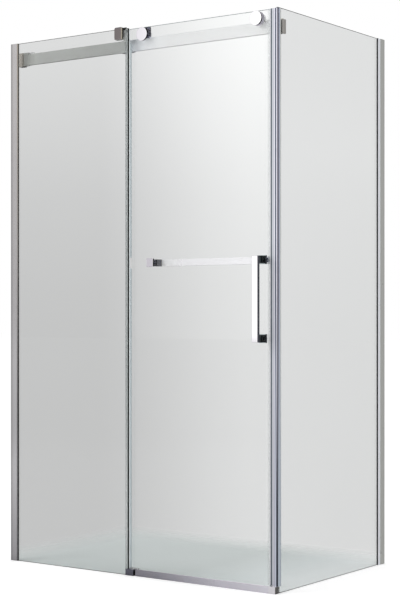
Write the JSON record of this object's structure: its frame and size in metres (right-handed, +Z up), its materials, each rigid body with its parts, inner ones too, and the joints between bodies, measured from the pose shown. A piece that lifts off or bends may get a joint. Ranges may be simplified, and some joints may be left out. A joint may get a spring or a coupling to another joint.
{
  "type": "shower enclosure with sliding door",
  "caption": "Corner shower enclosure of clear glass: fixed pane, sliding door hung by rollers on a rail behind it, side pane, wall profiles, pull handle and inner towel rail.",
  "frame": {"origin": "centre of the footprint's bounding box, at floor level, where the glass, the profiles and the threshold stand on the tray", "axes": "+X to the right along the front, from the left wall to the side pane; +Y from the front into the shower, to the wall behind; +Z up"},
  "size_m": [1.186, 0.784, 1.9555],
  "materials": {
    "clear_glass": "clear, polished",
    "bright_aluminium": "bright anodised",
    "chrome": "polished",
    "polished_steel": "fine polished",
    "threshold_aluminium": "satin anodised",
    "clear_seal": "clear, soft",
    "magnet_strip": "matte",
    "grey_rubber": "matte",
    "white_nylon": "satin",
    "wheel_steel": "turned",
    "screw_steel": "plain"
  },
  "bodies": {
    "enclosure": {"fixed_pane": "clear_glass", "side_pane": "clear_glass", "wall_profile_left": "bright_aluminium", "wall_profile_right": "bright_aluminium", "glazing_channel_left": "bright_aluminium", "glazing_channel_right": "bright_aluminium", "clamp_block": "chrome", "rail_arm": "chrome", "rail_saddle": "chrome", "rail_wall_bracket": "chrome", "rail_side_socket": "chrome", "rail_side_plate": "chrome", "rail_stop_left": "chrome", "rail_stop_right": "chrome", "guide_block": "chrome", "corner_cap": "chrome", "rail": "polished_steel", "threshold": "threshold_aluminium", "pane_edge_seal": "clear_seal", "side_seal": "clear_seal", "threshold_seal": "clear_seal", "side_magnet": "magnet_strip", "glazing_gasket_left": "grey_rubber", "glazing_gasket_right": "grey_rubber", "clamp_pads": "grey_rubber", "stop_buffers": "grey_rubber", "pane_bushes": "white_nylon", "guide_liner": "white_nylon", "profile_screw_caps": "white_nylon", "profile_lock_screws": "screw_steel", "rail_grub_screws": "screw_steel", "clamp_bolts": "screw_steel", "saddle_screws": "screw_steel"},
    "door": {"door_pane": "clear_glass", "door_seal": "clear_seal", "door_magnet": "magnet_strip", "door_bushes": "white_nylon", "door_gaskets": "grey_rubber", "roller_cap_left": "chrome", "roller_cap_right": "chrome", "roller_carrier_left": "chrome", "roller_hub_right": "chrome", "roller_axle_left": "wheel_steel", "roller_axle_right": "wheel_steel", "roller_end_screws": "screw_steel", "pull_handle": "chrome", "handle_roses": "chrome", "handle_inner_button": "chrome", "towel_rail": "chrome", "towel_necks": "chrome", "towel_outer_cap": "chrome", "through_bolts": "screw_steel"},
    "wheel_left": {"wheel_tyre_left": "white_nylon", "wheel_flanges_left": "wheel_steel", "wheel_bearing_left": "wheel_steel"},
    "wheel_right": {"wheel_tyre_right": "white_nylon", "wheel_flanges_right": "wheel_steel", "wheel_bearing_right": "wheel_steel"}
  },
  "joints": [
    {"name": "door_slide", "type": "slide", "parent": "enclosure", "child": "door", "axis": [-1, 0, 0], "range_m": [0, 0.525]},
    {"name": "wheel_left_spin", "type": "hinge", "parent": "door", "child": "wheel_left", "pos_m": [0.0155, -0.306, 1.9277], "axis": [0, 1, 0], "continuous": true},
    {"name": "wheel_right_spin", "type": "hinge", "parent": "door", "child": "wheel_right", "pos_m": [0.5, -0.306, 1.9277], "axis": [0, 1, 0], "continuous": true}
  ],
  "couplings": [
    {"joint": "wheel_left_spin", "follows": "door_slide", "rad_per_m": -84.034},
    {"joint": "wheel_right_spin", "follows": "door_slide", "rad_per_m": -84.034}
  ]
}
